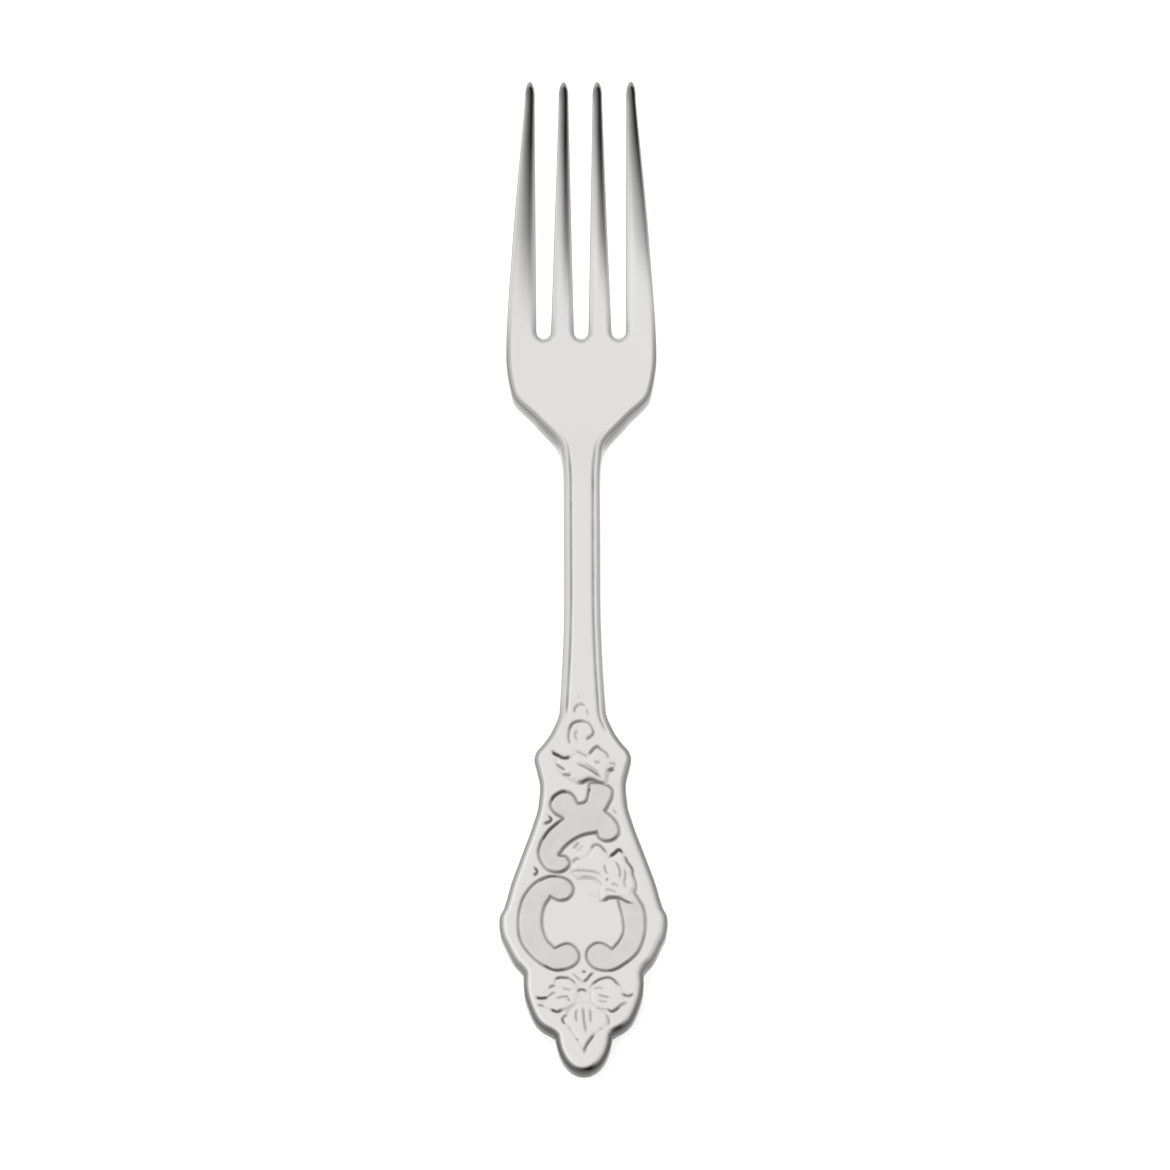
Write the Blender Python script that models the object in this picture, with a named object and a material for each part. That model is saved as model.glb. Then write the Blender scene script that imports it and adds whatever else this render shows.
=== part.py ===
"""Dessert fork with a scrolled handle, in one piece as such a fork is made.

A flat silver blank is outlined and pierced, its handle face is struck with low scrolls, leaves and a
flower, its stem is threaded, and the whole is then bent to its side profile. X is the width, Y runs from
the end of the handle to the tips, and the fork lies face up on Z = 0. Lengths along the flat blank are
measured from the end of the handle, or back from the tips or the slots where their names say so.
"""

import math

import bmesh
import bpy

MM = 0.001

# The whole fork, and the handle to which the drawing of its edge and ornament below is fitted
LENGTH = 178.6 * MM
HANDLE_LENGTH = 64.7 * MM
MAIN_LOBE_WIDTH = 28.4 * MM

# Tines and the slots between them
TINES = 4
TINE_LENGTH = 42.2 * MM
TINE_PITCH = 5.7 * MM
TINE_TIP_WIDTH = 1.9 * MM
TINE_MIDDLE_SPREAD = 23.2 * MM
TINE_MIDDLE_FROM_TIP = 25.6 * MM
SLOT_WIDTH = 2.4 * MM
SLOT_PITCH = 6.35 * MM
SLOT_ROOT = LENGTH - TINE_LENGTH

# Outline of the head and the stem, places back from the roots of the slots
HEAD_WIDTH = 25.5 * MM
HEAD_BACK = 3.5 * MM
BOWL_CORNER_WIDTH = 23.5 * MM
BOWL_CORNER_BACK = 10.4 * MM
CHEEK_WIDTH = 15.2 * MM
CHEEK_BACK = 15.5 * MM
NECK_WIDTH = 7.2 * MM
NECK_BACK = 21.7 * MM
THROAT_WIDTH = 6.3 * MM
THROAT_BACK = 28.7 * MM
STEM_WIDTH = 6.24 * MM

# Thickness of the metal, and the rounding of its rim
HANDLE_THICKNESS = 2.7 * MM
STEM_THICKNESS = 3.2 * MM
BOWL_THICKNESS = 2.2 * MM
TIP_THICKNESS = 1.3 * MM
RIM_RADIUS = 0.7 * MM

# Side profile of the face, bent over the arch and into the bowl
REST_LENGTH = 12 * MM
ARCH_HEIGHT = 9.6 * MM
ARCH_FROM_TIP = 82.6 * MM
NECK_HEIGHT = 6.0 * MM
NECK_SLOPE = -0.3
NECK_BEND_FROM_TIP = 65.6 * MM
BELLY_LIFT = 0.05 * MM
BELLY_FROM_TIP = 48.6 * MM
TINE_BEND_HEIGHT = 5.8 * MM
TINE_BEND_SLOPE = 0.28
TINE_BEND_FROM_TIP = 24.1 * MM
TIP_HEIGHT = 14.6 * MM
TIP_SLOPE = 0.47
BOWL_DISH = 0.6 * MM

# Thread cut along each edge of the stem
THREAD_RADIUS = 0.4 * MM
THREAD_DEPTH = 0.28 * MM
THREAD_INSET = 1.2 * MM
THREAD_RUN_OUT = 4 * MM

# Struck ornament, drawn below and fitted to the handle
SCROLL_RELIEF = 0.22 * MM
LEAF_RELIEF = 0.28 * MM
PETAL_RELIEF = 0.2 * MM
RELIEF_ROOT = 0.6 * MM
FLOWER_EYE_RADIUS = 0.75 * MM
FLOWER_EYE_RELIEF = 0.34 * MM

# How finely the rows that take the bend are laid, and how close two corners may lie
HANDLE_ROW = 3.2 * MM
STEM_ROW = 5 * MM
HEAD_ROW = 2.6 * MM
BOWL_COLUMN = 2.6 * MM
ARC_STEPS = 6
SPAN_STEPS = 3
ORNAMENT_STEPS = 3
WELD = 0.004 * MM

SILVER = (0.86, 0.855, 0.835, 1.0)
SILVER_ROUGHNESS = 0.18

# Drawing of the handle in its own units, x from the middle and y from the end. The end is an elliptical
# lobe, turned as far as the first point of the edge, which then runs up to the stem.
END_LOBE = (4.8, 7.6)
END_LOBE_TURN = 83
HANDLE_EDGE = [
    (4.76, 6.67), (7.05, 8.4), (8.07, 9.5), (9.1, 11.7), (9.98, 14.8), (10.12, 16.6), (10.05, 18.1),
    (11.8, 20.6), (12.9, 22.8), (14.0, 25.5), (14.2, 27.3), (13.35, 30.2), (12.2, 34.3), (10.33, 39.6),
    (8.4, 45.0), (7.55, 48.1), (7.27, 51.5), (7.79, 54.2), (8.2, 56.2), (7.9, 57.4), (6.55, 59.1),
    (5.25, 61.1), (3.95, 64.7),
]

# Closed outlines of the struck ornament in the same units. A third value of 1 marks a sharp point; the curve
# is smooth through the others.
LEFT_SCROLL = [
    (-1.6, 33.6), (-3.0, 35.2), (-5.5, 35.6), (-7.7, 34.8), (-9.5, 33.0), (-10.7, 30.7), (-11.2, 27.3),
    (-10.7, 24.1), (-9.2, 21.7), (-7.2, 19.7), (-4.8, 18.5), (-2.6, 18.8), (-0.9, 20.2), (-0.9, 22.2),
    (-2.6, 23.6), (-5.1, 22.6, 1), (-6.5, 24.4), (-7.2, 27.3), (-6.7, 30.0), (-5.6, 32.0, 1), (-3.9, 31.2),
    (-2.3, 31.7),
]
RIGHT_SCROLL = [
    (5.8, 30.4, 1), (6.6, 28.0), (6.6, 25.6), (5.8, 23.8), (4.7, 22.6, 1), (3.3, 23.5), (1.9, 23.6),
    (0.5, 22.2), (0.6, 20.3), (2.2, 18.8), (5.0, 18.6), (7.3, 19.9), (9.2, 21.9), (10.2, 24.4),
    (10.4, 27.0), (9.9, 29.8), (8.9, 32.0, 1),
]
CREST_LEAF = [
    (2.8, 31.3, 1), (4.3, 31.8), (6.3, 31.6), (8.3, 30.5, 1), (8.4, 32.5), (8.9, 33.7), (8.3, 35.3),
    (8.1, 36.7), (7.4, 38.2), (7.0, 39.4), (6.3, 40.6, 1), (5.3, 39.9), (4.5, 39.1, 1), (3.3, 40.4),
    (2.2, 41.0), (1.2, 40.0), (0.6, 38.9, 1), (-0.6, 38.7), (-1.9, 37.7, 1), (-2.1, 36.3), (-0.6, 35.2),
    (1.4, 35.0), (2.6, 33.4),
]
MIDDLE_SCROLL = [
    (4.6, 51.1), (4.8, 49.4), (4.3, 47.9), (3.7, 46.9, 1), (5.0, 46.0), (5.9, 44.6), (6.0, 42.9),
    (5.0, 41.8), (3.6, 41.7), (2.5, 42.6), (2.3, 43.4, 1), (0.1, 43.2), (-1.6, 42.4), (-3.3, 41.0),
    (-4.3, 39.4, 1), (-2.9, 39.2), (-2.5, 38.0), (-3.1, 36.8), (-4.6, 36.4), (-6.5, 37.1), (-7.5, 39.3),
    (-7.2, 41.5), (-5.9, 43.5), (-3.2, 45.6, 1), (-4.8, 46.8), (-5.5, 48.3), (-4.9, 49.6), (-3.4, 50.5),
    (-1.8, 50.0), (-0.8, 48.3, 1), (0.5, 48.8), (1.0, 50.4), (1.1, 52.2, 1), (3.0, 52.0),
]
LEAF_SPRAY = [
    (-5.3, 57.3), (-4.9, 57.7), (-3.8, 56.8), (-2.0, 56.5), (-0.9, 57.3), (0.2, 57.3), (0.9, 56.6, 1),
    (1.6, 57.5), (2.5, 58.2), (3.6, 57.6), (4.3, 56.4), (4.3, 55.5, 1), (5.7, 55.1, 1), (4.6, 54.3),
    (4.3, 53.0), (3.3, 53.0), (1.9, 53.4), (0.5, 53.2), (-0.9, 52.6), (-2.0, 52.8), (-3.5, 53.5, 1),
    (-2.8, 54.3, 1), (-4.4, 55.2, 1), (-3.2, 55.7, 1),
]
UPPER_SCROLL = [
    (-2.0, 58.9), (-2.6, 60.3), (-1.9, 62.3), (0.0, 63.1), (1.6, 62.2), (2.1, 60.8), (0.8, 59.5, 1),
    (0.5, 60.8), (-0.4, 61.3), (-1.0, 60.3), (-0.8, 59.3),
]
TOP_BUD = [(-1.2, 64.1), (-1.1, 65.3), (-0.2, 65.8), (0.6, 65.3), (0.8, 64.1), (-0.2, 63.7)]
SIDE_PETAL = [
    (-1.1, 15.4), (-1.9, 16.7), (-3.2, 17.3), (-4.7, 17.1), (-5.3, 16.0, 1), (-6.2, 15.1), (-7.8, 14.2, 1),
    (-6.9, 13.5), (-6.1, 13.4, 1), (-7.3, 12.4, 1), (-5.9, 11.8), (-4.6, 11.2), (-2.9, 11.9), (-1.3, 13.2),
]
LOWER_PETAL = [
    (0.0, 12.9), (-1.6, 12.3), (-2.9, 11.0), (-3.5, 9.6), (-2.6, 8.4), (-1.6, 6.5), (0.0, 3.6, 1),
    (1.6, 6.5), (2.6, 8.4), (3.5, 9.6), (2.9, 11.0), (1.6, 12.3),
]
FLOWER_EYE = (0.0, 14.4)


def smooth_steps(stations, steps):
    """Places from station to station, each span cut into the same number of steps."""
    places = []
    for (low, _), (high, _) in zip(stations, stations[1:]):
        places += [low + (high - low) * step / steps for step in range(steps)]
    return places + [stations[-1][0]]


def through(stations, place):
    """Value and slope at a place on the smooth curve through (place, value) stations, with no overshoot."""
    rises = [(b[1] - a[1]) / (b[0] - a[0]) for a, b in zip(stations, stations[1:])]
    inner = [2 * a * b / (a + b) if a * b > 0 else 0.0 for a, b in zip(rises, rises[1:])]
    slopes = [0.0] + inner + [rises[-1]]
    span = 0
    while span < len(rises) - 1 and place > stations[span + 1][0]:
        span += 1
    return hermite(stations[span] + (slopes[span],), stations[span + 1] + (slopes[span + 1],), place)


def hermite(start, end, place):
    """Value and slope at a place on the cubic from one (place, value, slope) to the next."""
    length = end[0] - start[0]
    t = (place - start[0]) / length
    value = ((2 * t**3 - 3 * t**2 + 1) * start[1] + (t**3 - 2 * t**2 + t) * length * start[2]
             + (3 * t**2 - 2 * t**3) * end[1] + (t**3 - t**2) * length * end[2])
    slope = ((6 * t**2 - 6 * t) * (start[1] - end[1]) / length
             + (3 * t**2 - 4 * t + 1) * start[2] + (3 * t**2 - 2 * t) * end[2])
    return value, slope


def outline_stations():
    """Half-widths from the top of the end lobe to the tips of the outer tines."""
    stem_middle = (HANDLE_LENGTH + SLOT_ROOT - THROAT_BACK) / 2
    tip_spread = (TINES - 1) * TINE_PITCH + TINE_TIP_WIDTH
    widths = [
        (stem_middle, STEM_WIDTH), (SLOT_ROOT - THROAT_BACK, THROAT_WIDTH),
        (SLOT_ROOT - NECK_BACK, NECK_WIDTH), (SLOT_ROOT - CHEEK_BACK, CHEEK_WIDTH),
        (SLOT_ROOT - BOWL_CORNER_BACK, BOWL_CORNER_WIDTH), (SLOT_ROOT - HEAD_BACK, HEAD_WIDTH),
        (LENGTH - TINE_MIDDLE_FROM_TIP, TINE_MIDDLE_SPREAD), (LENGTH - TINE_TIP_WIDTH / 2, tip_spread),
    ]
    handle = [on_handle(point) for point in HANDLE_EDGE]
    return [(place, half) for half, place in handle] + [(place, width / 2) for place, width in widths]


def arc(center, radii, start, end):
    """Points along an elliptical arc between two angles in degrees, ends included."""
    angles = [math.radians(start + (end - start) * step / ARC_STEPS) for step in range(ARC_STEPS + 1)]
    return [(center[0] + radii[0] * math.cos(a), center[1] + radii[1] * math.sin(a)) for a in angles]


def right_edge():
    """Right edge of the blank, from the end of the handle to the outer tine's tip."""
    end_lobe = arc((0, END_LOBE[1]), END_LOBE, -90, END_LOBE_TURN - 90)
    stations = outline_stations()
    rest = [(through(stations, place)[0], place) for place in smooth_steps(stations, SPAN_STEPS)]
    return [on_handle(point) for point in end_lobe[:-1]] + rest


def fork_outline():
    """Whole outline of the flat blank, counter-clockwise from the end of the handle."""
    right = right_edge()
    tip_radius = TINE_TIP_WIDTH / 2
    slot_radius = SLOT_WIDTH / 2
    tips_and_slots = []
    for tine in range(TINES):
        tip_x = ((TINES - 1) / 2 - tine) * TINE_PITCH
        tip = arc((tip_x, LENGTH - tip_radius), (tip_radius, tip_radius), 0, 180)
        tips_and_slots += tip[1:] if tine == 0 else tip
        if tine < TINES - 1:
            slot_x = ((TINES - 2) / 2 - tine) * SLOT_PITCH
            root = (slot_x, SLOT_ROOT + slot_radius)
            tips_and_slots += arc(root, (slot_radius, slot_radius), 0, -180)
    left = [(-x, y) for x, y in reversed(right[1:-1])]
    return right + tips_and_slots + left


def solid_from_curve(name, curve, collection):
    """Closed mesh object made from a filled or bevelled curve, which is then removed."""
    drawn = bpy.data.objects.new(name + "_curve", curve)
    collection.objects.link(drawn)
    evaluated = drawn.evaluated_get(bpy.context.evaluated_depsgraph_get())
    mesh = bpy.data.meshes.new_from_object(evaluated)
    bm = bmesh.new()
    bm.from_mesh(mesh)
    bmesh.ops.remove_doubles(bm, verts=bm.verts, dist=WELD)
    bmesh.ops.recalc_face_normals(bm, faces=bm.faces)
    bm.to_mesh(mesh)
    bm.free()
    bpy.data.objects.remove(drawn)
    solid = bpy.data.objects.new(name, mesh)
    collection.objects.link(solid)
    return solid


def flat_curve(name, low, high):
    """Empty filled curve whose outline stands between two heights."""
    curve = bpy.data.curves.new(name, "CURVE")
    curve.dimensions = "2D"
    curve.fill_mode = "BOTH"
    curve.extrude = (high - low) / 2
    return curve


def raise_solid(solid, height):
    """Move a solid's mesh up, because a filled curve is centred on its own plane."""
    for vertex in solid.data.vertices:
        vertex.co.z += height


def flat_blank(collection):
    """Pierced blank with its face at height 0 and a round rim on both sides."""
    low = RIM_RADIUS - HANDLE_THICKNESS
    high = -RIM_RADIUS
    curve = flat_curve("blank", low, high)
    outline = fork_outline()
    spline = curve.splines.new("POLY")
    spline.points.add(len(outline) - 1)
    for point, (x, y) in zip(spline.points, outline):
        point.co = (x, y, 0, 1)
    spline.use_cyclic_u = True
    blank = solid_from_curve("dessert_fork", curve, collection)
    raise_solid(blank, (low + high) / 2)
    bm = bmesh.new()
    bm.from_mesh(blank.data)
    half_turn = math.sqrt(0.5)
    for up in (1, -1):
        cap = [face for face in bm.faces if face.normal.z * up > half_turn]
        for inset, rise in ((1 - half_turn, half_turn), (half_turn, 1 - half_turn)):
            bmesh.ops.inset_region(bm, faces=cap, thickness=inset * RIM_RADIUS, use_even_offset=True)
            for vertex in {vertex for face in cap for vertex in face.verts}:
                vertex.co.z += up * rise * RIM_RADIUS
    bm.to_mesh(blank.data)
    bm.free()
    return blank


def on_handle(point, mirrored=False):
    """Place on the flat handle of a point of the drawing, whose widest and topmost points set its scale."""
    across = MAIN_LOBE_WIDTH / 2 / max(half for half, _ in HANDLE_EDGE)
    along = HANDLE_LENGTH / HANDLE_EDGE[-1][1]
    return (-across if mirrored else across) * point[0], along * point[1]


def raised_ornament(name, points, rise, collection, mirrored=False):
    """Pad with the outline of one ornament, standing proud of the handle's face."""
    curve = flat_curve(name, -RELIEF_ROOT, rise)
    curve.resolution_u = ORNAMENT_STEPS
    spline = curve.splines.new("BEZIER")
    spline.bezier_points.add(len(points) - 1)
    spline.use_cyclic_u = True
    for knot, point in zip(spline.bezier_points, points):
        knot.co = (*on_handle(point, mirrored), 0)
        kind = "VECTOR" if len(point) > 2 else "AUTO"
        knot.handle_left_type = kind
        knot.handle_right_type = kind
    pad = solid_from_curve(name, curve, collection)
    raise_solid(pad, (rise - RELIEF_ROOT) / 2)


def flower_eye(collection):
    """Round eye at the middle of the flower."""
    bm = bmesh.new()
    middle = (*on_handle(FLOWER_EYE), (FLOWER_EYE_RELIEF - RELIEF_ROOT) / 2)
    bmesh.ops.create_cone(bm, cap_ends=True, segments=2 * ARC_STEPS, radius1=FLOWER_EYE_RADIUS,
                          radius2=FLOWER_EYE_RADIUS, depth=RELIEF_ROOT + FLOWER_EYE_RELIEF)
    bmesh.ops.translate(bm, verts=bm.verts, vec=middle)
    mesh = bpy.data.meshes.new("flower_eye")
    bm.to_mesh(mesh)
    bm.free()
    eye = bpy.data.objects.new("flower_eye", mesh)
    collection.objects.link(eye)


def thread_cutter(side, collection):
    """Round bar laid along one edge of the stem, which sinks in and runs out again at both ends."""
    stations = outline_stations()
    start = HANDLE_LENGTH
    end = SLOT_ROOT - NECK_BACK
    sunk = THREAD_RADIUS - THREAD_DEPTH
    clear = THREAD_RADIUS * 1.5
    runs = [(start - THREAD_RUN_OUT, clear), (start, sunk), ((start + end) / 2, sunk), (end, sunk),
            (end + THREAD_RUN_OUT, clear)]
    curve = bpy.data.curves.new("thread", "CURVE")
    curve.dimensions = "3D"
    curve.bevel_depth = THREAD_RADIUS
    curve.bevel_resolution = 2
    curve.use_fill_caps = True
    places = smooth_steps(runs, SPAN_STEPS)
    spline = curve.splines.new("POLY")
    spline.points.add(len(places) - 1)
    for point, place in zip(spline.points, places):
        across = through(stations, min(max(place, start), end))[0] - THREAD_INSET
        point.co = (side * across, place, through(runs, place)[0], 1)
    solid_from_curve("thread_cutter", curve, collection)


def combine(target, operation, others):
    """Union with, or cut by, all the solids of a collection at once."""
    modifier = target.modifiers.new(others.name, "BOOLEAN")
    modifier.operation = operation
    modifier.operand_type = "COLLECTION"
    modifier.collection = others
    evaluated = target.evaluated_get(bpy.context.evaluated_depsgraph_get())
    combined = bpy.data.meshes.new_from_object(evaluated)
    target.modifiers.clear()
    target.data = combined
    for other in others.objects:
        other.hide_render = True
        other.display_type = "WIRE"


def face_profile(y):
    """Height and slope of the fork's face along its middle."""
    belly = BOWL_THICKNESS + BELLY_LIFT
    bends = [
        (REST_LENGTH, HANDLE_THICKNESS, 0), (LENGTH - ARCH_FROM_TIP, ARCH_HEIGHT, 0),
        (LENGTH - NECK_BEND_FROM_TIP, NECK_HEIGHT, NECK_SLOPE),
        (LENGTH - BELLY_FROM_TIP, belly, 0),
        (LENGTH - TINE_BEND_FROM_TIP, TINE_BEND_HEIGHT, TINE_BEND_SLOPE), (LENGTH, TIP_HEIGHT, TIP_SLOPE),
    ]
    if y <= REST_LENGTH:
        return HANDLE_THICKNESS, 0.0
    span = 0
    while span < len(bends) - 2 and y > bends[span + 1][0]:
        span += 1
    return hermite(bends[span], bends[span + 1], y)


def metal_thickness(y):
    """Thickness of the metal along the fork."""
    stations = [
        (REST_LENGTH, HANDLE_THICKNESS), (HANDLE_LENGTH, HANDLE_THICKNESS),
        (LENGTH - ARCH_FROM_TIP, STEM_THICKNESS), (SLOT_ROOT - NECK_BACK, STEM_THICKNESS),
        (LENGTH - BELLY_FROM_TIP, BOWL_THICKNESS), (SLOT_ROOT, BOWL_THICKNESS),
        (LENGTH, TIP_THICKNESS),
    ]
    return through(stations, max(y, REST_LENGTH))[0]


def bowl_dish(x, y):
    """Rise of the bowl's sides above its middle, which dies out at the neck and the tips."""
    stations = [(SLOT_ROOT - NECK_BACK, 0), (SLOT_ROOT - HEAD_BACK, BOWL_DISH), (LENGTH, BOWL_DISH / 2)]
    if y <= stations[0][0]:
        return 0.0
    return through(stations, y)[0] * (2 * x / HEAD_WIDTH) ** 2


def cut_rows(bm):
    """Lay rows across the blank, and columns in the bowl, so that it can follow the bend."""
    bmesh.ops.connect_verts_concave(bm, faces=bm.faces)
    neck = SLOT_ROOT - NECK_BACK
    rows = [REST_LENGTH]
    while rows[-1] < LENGTH - HEAD_ROW:
        step = HANDLE_ROW if rows[-1] < HANDLE_LENGTH else STEM_ROW if rows[-1] < neck else HEAD_ROW
        rows.append(rows[-1] + step)
    for row in rows:
        everything = bm.verts[:] + bm.edges[:] + bm.faces[:]
        bmesh.ops.bisect_plane(bm, geom=everything, plane_co=(0, row, 0), plane_no=(0, 1, 0), dist=WELD)
    columns = int(HEAD_WIDTH / 2 / BOWL_COLUMN)
    for column in range(-columns, columns + 1):
        bowl = [face for face in bm.faces if neck < face.calc_center_median().y < SLOT_ROOT]
        edges = {edge for face in bowl for edge in face.edges}
        corners = {vertex for face in bowl for vertex in face.verts}
        bmesh.ops.bisect_plane(bm, geom=list(corners) + list(edges) + bowl, dist=WELD,
                               plane_co=(column * BOWL_COLUMN, 0, 0), plane_no=(1, 0, 0))


def bend(fork):
    """Thin the metal, dish the bowl and bend the flat blank to its side profile, then centre it."""
    bm = bmesh.new()
    bm.from_mesh(fork.data)
    cut_rows(bm)
    for vertex in bm.verts:
        x, y, height = vertex.co
        if height < 0:
            height *= metal_thickness(y) / HANDLE_THICKNESS
        face, slope = face_profile(y)
        tilt = math.atan(slope)
        vertex.co = (x, y - height * math.sin(tilt), face + bowl_dish(x, y) + height * math.cos(tilt))
    bmesh.ops.remove_doubles(bm, verts=bm.verts, dist=WELD)
    ends = [vertex.co.y for vertex in bm.verts]
    bmesh.ops.translate(bm, verts=bm.verts, vec=(0, -(min(ends) + max(ends)) / 2, 0))
    bm.to_mesh(fork.data)
    bm.free()


def silver():
    """Polished silver of the whole fork."""
    material = bpy.data.materials.new("polished_silver")
    material.use_nodes = True
    shader = material.node_tree.nodes["Principled BSDF"]
    shader.inputs["Base Color"].default_value = SILVER
    shader.inputs["Metallic"].default_value = 1.0
    shader.inputs["Roughness"].default_value = SILVER_ROUGHNESS
    return material


def build():
    for old in list(bpy.data.objects):
        bpy.data.objects.remove(old)
    parts, cutters, dies = [bpy.data.collections.new(name) for name in ("dessert_fork", "cutters", "dies")]
    for collection in (parts, cutters, dies):
        bpy.context.scene.collection.children.link(collection)
    fork = flat_blank(parts)
    for side in (-1, 1):
        thread_cutter(side, cutters)
    combine(fork, "DIFFERENCE", cutters)
    raised_ornament("left_scroll", LEFT_SCROLL, SCROLL_RELIEF, dies)
    raised_ornament("right_scroll", RIGHT_SCROLL, SCROLL_RELIEF, dies)
    raised_ornament("middle_scroll", MIDDLE_SCROLL, SCROLL_RELIEF, dies)
    raised_ornament("upper_scroll", UPPER_SCROLL, SCROLL_RELIEF, dies)
    raised_ornament("top_bud", TOP_BUD, SCROLL_RELIEF, dies)
    raised_ornament("crest_leaf", CREST_LEAF, LEAF_RELIEF, dies)
    raised_ornament("leaf_spray", LEAF_SPRAY, LEAF_RELIEF, dies)
    raised_ornament("left_petal", SIDE_PETAL, SCROLL_RELIEF, dies)
    raised_ornament("right_petal", SIDE_PETAL, SCROLL_RELIEF, dies, mirrored=True)
    raised_ornament("lower_petal", LOWER_PETAL, PETAL_RELIEF, dies)
    flower_eye(dies)
    combine(fork, "UNION", dies)
    bend(fork)
    fork.data.materials.clear()
    fork.data.materials.append(silver())
    fork.data.shade_smooth()
    fork.data.set_sharp_from_angle(angle=math.radians(30))


build()
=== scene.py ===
"""Looks of the dessert fork: one stamped, struck, bent and polished piece of silver on a pale table."""

import bmesh
import bpy
import numpy as np
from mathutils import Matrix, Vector
from mathutils.geometry import interpolate_bezier
from mathutils.kdtree import KDTree


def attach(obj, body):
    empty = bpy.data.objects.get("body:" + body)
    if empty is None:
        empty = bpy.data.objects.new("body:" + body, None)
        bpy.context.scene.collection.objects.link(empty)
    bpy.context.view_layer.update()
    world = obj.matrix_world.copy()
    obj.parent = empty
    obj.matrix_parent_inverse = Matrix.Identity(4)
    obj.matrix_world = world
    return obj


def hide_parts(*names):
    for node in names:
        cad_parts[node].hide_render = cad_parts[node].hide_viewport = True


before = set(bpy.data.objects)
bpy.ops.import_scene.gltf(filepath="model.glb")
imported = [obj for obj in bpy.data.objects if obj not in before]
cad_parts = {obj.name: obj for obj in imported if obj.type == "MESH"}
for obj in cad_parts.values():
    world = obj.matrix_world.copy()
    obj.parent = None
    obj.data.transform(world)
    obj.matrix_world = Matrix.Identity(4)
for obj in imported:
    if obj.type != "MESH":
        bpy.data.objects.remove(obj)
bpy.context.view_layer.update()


# The blank. A fork of this kind is stamped out of one sheet of silver, with its slots pierced in the same
# blow, so it is one closed plate. It is laid out flat in millimetres from the end of the handle.

MM = 0.001
LENGTH = 178.6
END_LOBE = (4.8, 7.6)
END_TURN = np.radians(83)
TIP_RADIUS = 0.85
TIP_REACH = 2.4
TIP_PITCH = 5.7
SLOT_RADIUS = 1.2
SLOT_PITCH = 6.35
SLOT_ROOT = 136.4 + SLOT_RADIUS
TIP_START = LENGTH - TIP_REACH
TIP_TURN = np.sqrt(0.5)
TIP_CORNER = TIP_START + TIP_REACH * TIP_TURN
HALF_WIDTHS = [
    (6.67, 4.76), (8.4, 7.05), (9.5, 8.07), (11.7, 9.1), (14.8, 9.98), (16.6, 10.12), (18.1, 10.05), (20.6, 11.8),
    (22.8, 12.9), (25.5, 14.0), (27.3, 14.2), (28.5, 14.12), (30.2, 13.35), (34.3, 12.2), (39.6, 10.33), (45, 8.4),
    (48.1, 7.55), (51.5, 7.27), (54.2, 7.79), (56.2, 8.2), (57.4, 7.9), (59.1, 6.55), (61.1, 5.25), (64.7, 3.95),
    (86.2, 3.12), (107.7, 3.15), (114.7, 3.6), (120.9, 7.6), (126, 11.75), (132.9, 12.75), (153, 11.6),
    (TIP_START, 9.4),
]


def cubic(at, value, slope, places):
    """Height and slope at many places on the cubics through stations with known slopes."""
    places = np.clip(places, at[0], at[-1])
    span = np.clip(np.searchsorted(at, places) - 1, 0, len(at) - 2)
    length = at[span + 1] - at[span]
    t = (places - at[span]) / length
    start, end = slope[span] * length, slope[span + 1] * length
    height = ((2 * t**3 - 3 * t**2 + 1) * value[span] + (t**3 - 2 * t**2 + t) * start
              + (3 * t**2 - 2 * t**3) * value[span + 1] + (t**3 - t**2) * end)
    rise = ((6 * t**2 - 6 * t) * (value[span] - value[span + 1]) + (3 * t**2 - 4 * t + 1) * start
            + (3 * t**2 - 2 * t) * end) / length
    return height, rise


def through(stations, places):
    """Smooth curve through (place, value) stations with no overshoot, read at many places."""
    at, value = np.array(stations, float).T
    rise = np.diff(value) / np.diff(at)
    slope = np.zeros(len(at))
    same_way = rise[:-1] * rise[1:] > 0
    total = np.where(same_way, rise[:-1] + rise[1:], 1)
    slope[1:-1] = np.where(same_way, 2 * rise[:-1] * rise[1:] / total, 0)
    slope[-1] = rise[-1]
    return cubic(at, value, slope, places)[0]


def ease(value):
    """Smooth step from 0 to 1."""
    value = np.clip(value, 0, 1)
    return value * value * (3 - 2 * value)


LOBE_POINTS = 300
SIDE_POINTS = 6000
turn = np.linspace(0, END_TURN, LOBE_POINTS)
straight = np.linspace(HALF_WIDTHS[0][0], TIP_CORNER, SIDE_POINTS)[1:]
edge_x = np.concatenate([END_LOBE[0] * np.sin(turn), through(HALF_WIDTHS, straight)])
edge_y = np.concatenate([END_LOBE[1] * (1 - np.cos(turn)), straight])
edge_run = np.concatenate([[0], np.cumsum(np.hypot(np.diff(edge_x), np.diff(edge_y)))])

# The first row follows the lobed end of the handle round to its sides. The next rows straighten as they
# climb, and from JOIN on they run straight across. They are laid finest on the handle.
SIDE_START = 27.3
JOIN = 48
HANDLE_TOP = 67
TIP_BLEND = 5
ROW_ZONES = [
    (JOIN, 0.3), (HANDLE_TOP, 0.66), (112, 1.5), (SLOT_ROOT, 0.7), (TIP_START - TIP_BLEND, 1.1), (TIP_CORNER, 0.4),
]
rows = [np.interp(SIDE_START, edge_y, edge_run)]
row_at = {}
for zone_end, step in ROW_ZONES:
    stop = np.interp(zone_end, edge_y, edge_run)
    rows += list(np.linspace(rows[-1], stop, round((stop - rows[-1]) / step) + 1)[1:])
    row_at[zone_end] = len(rows) - 1
rows = np.array(rows)

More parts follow.
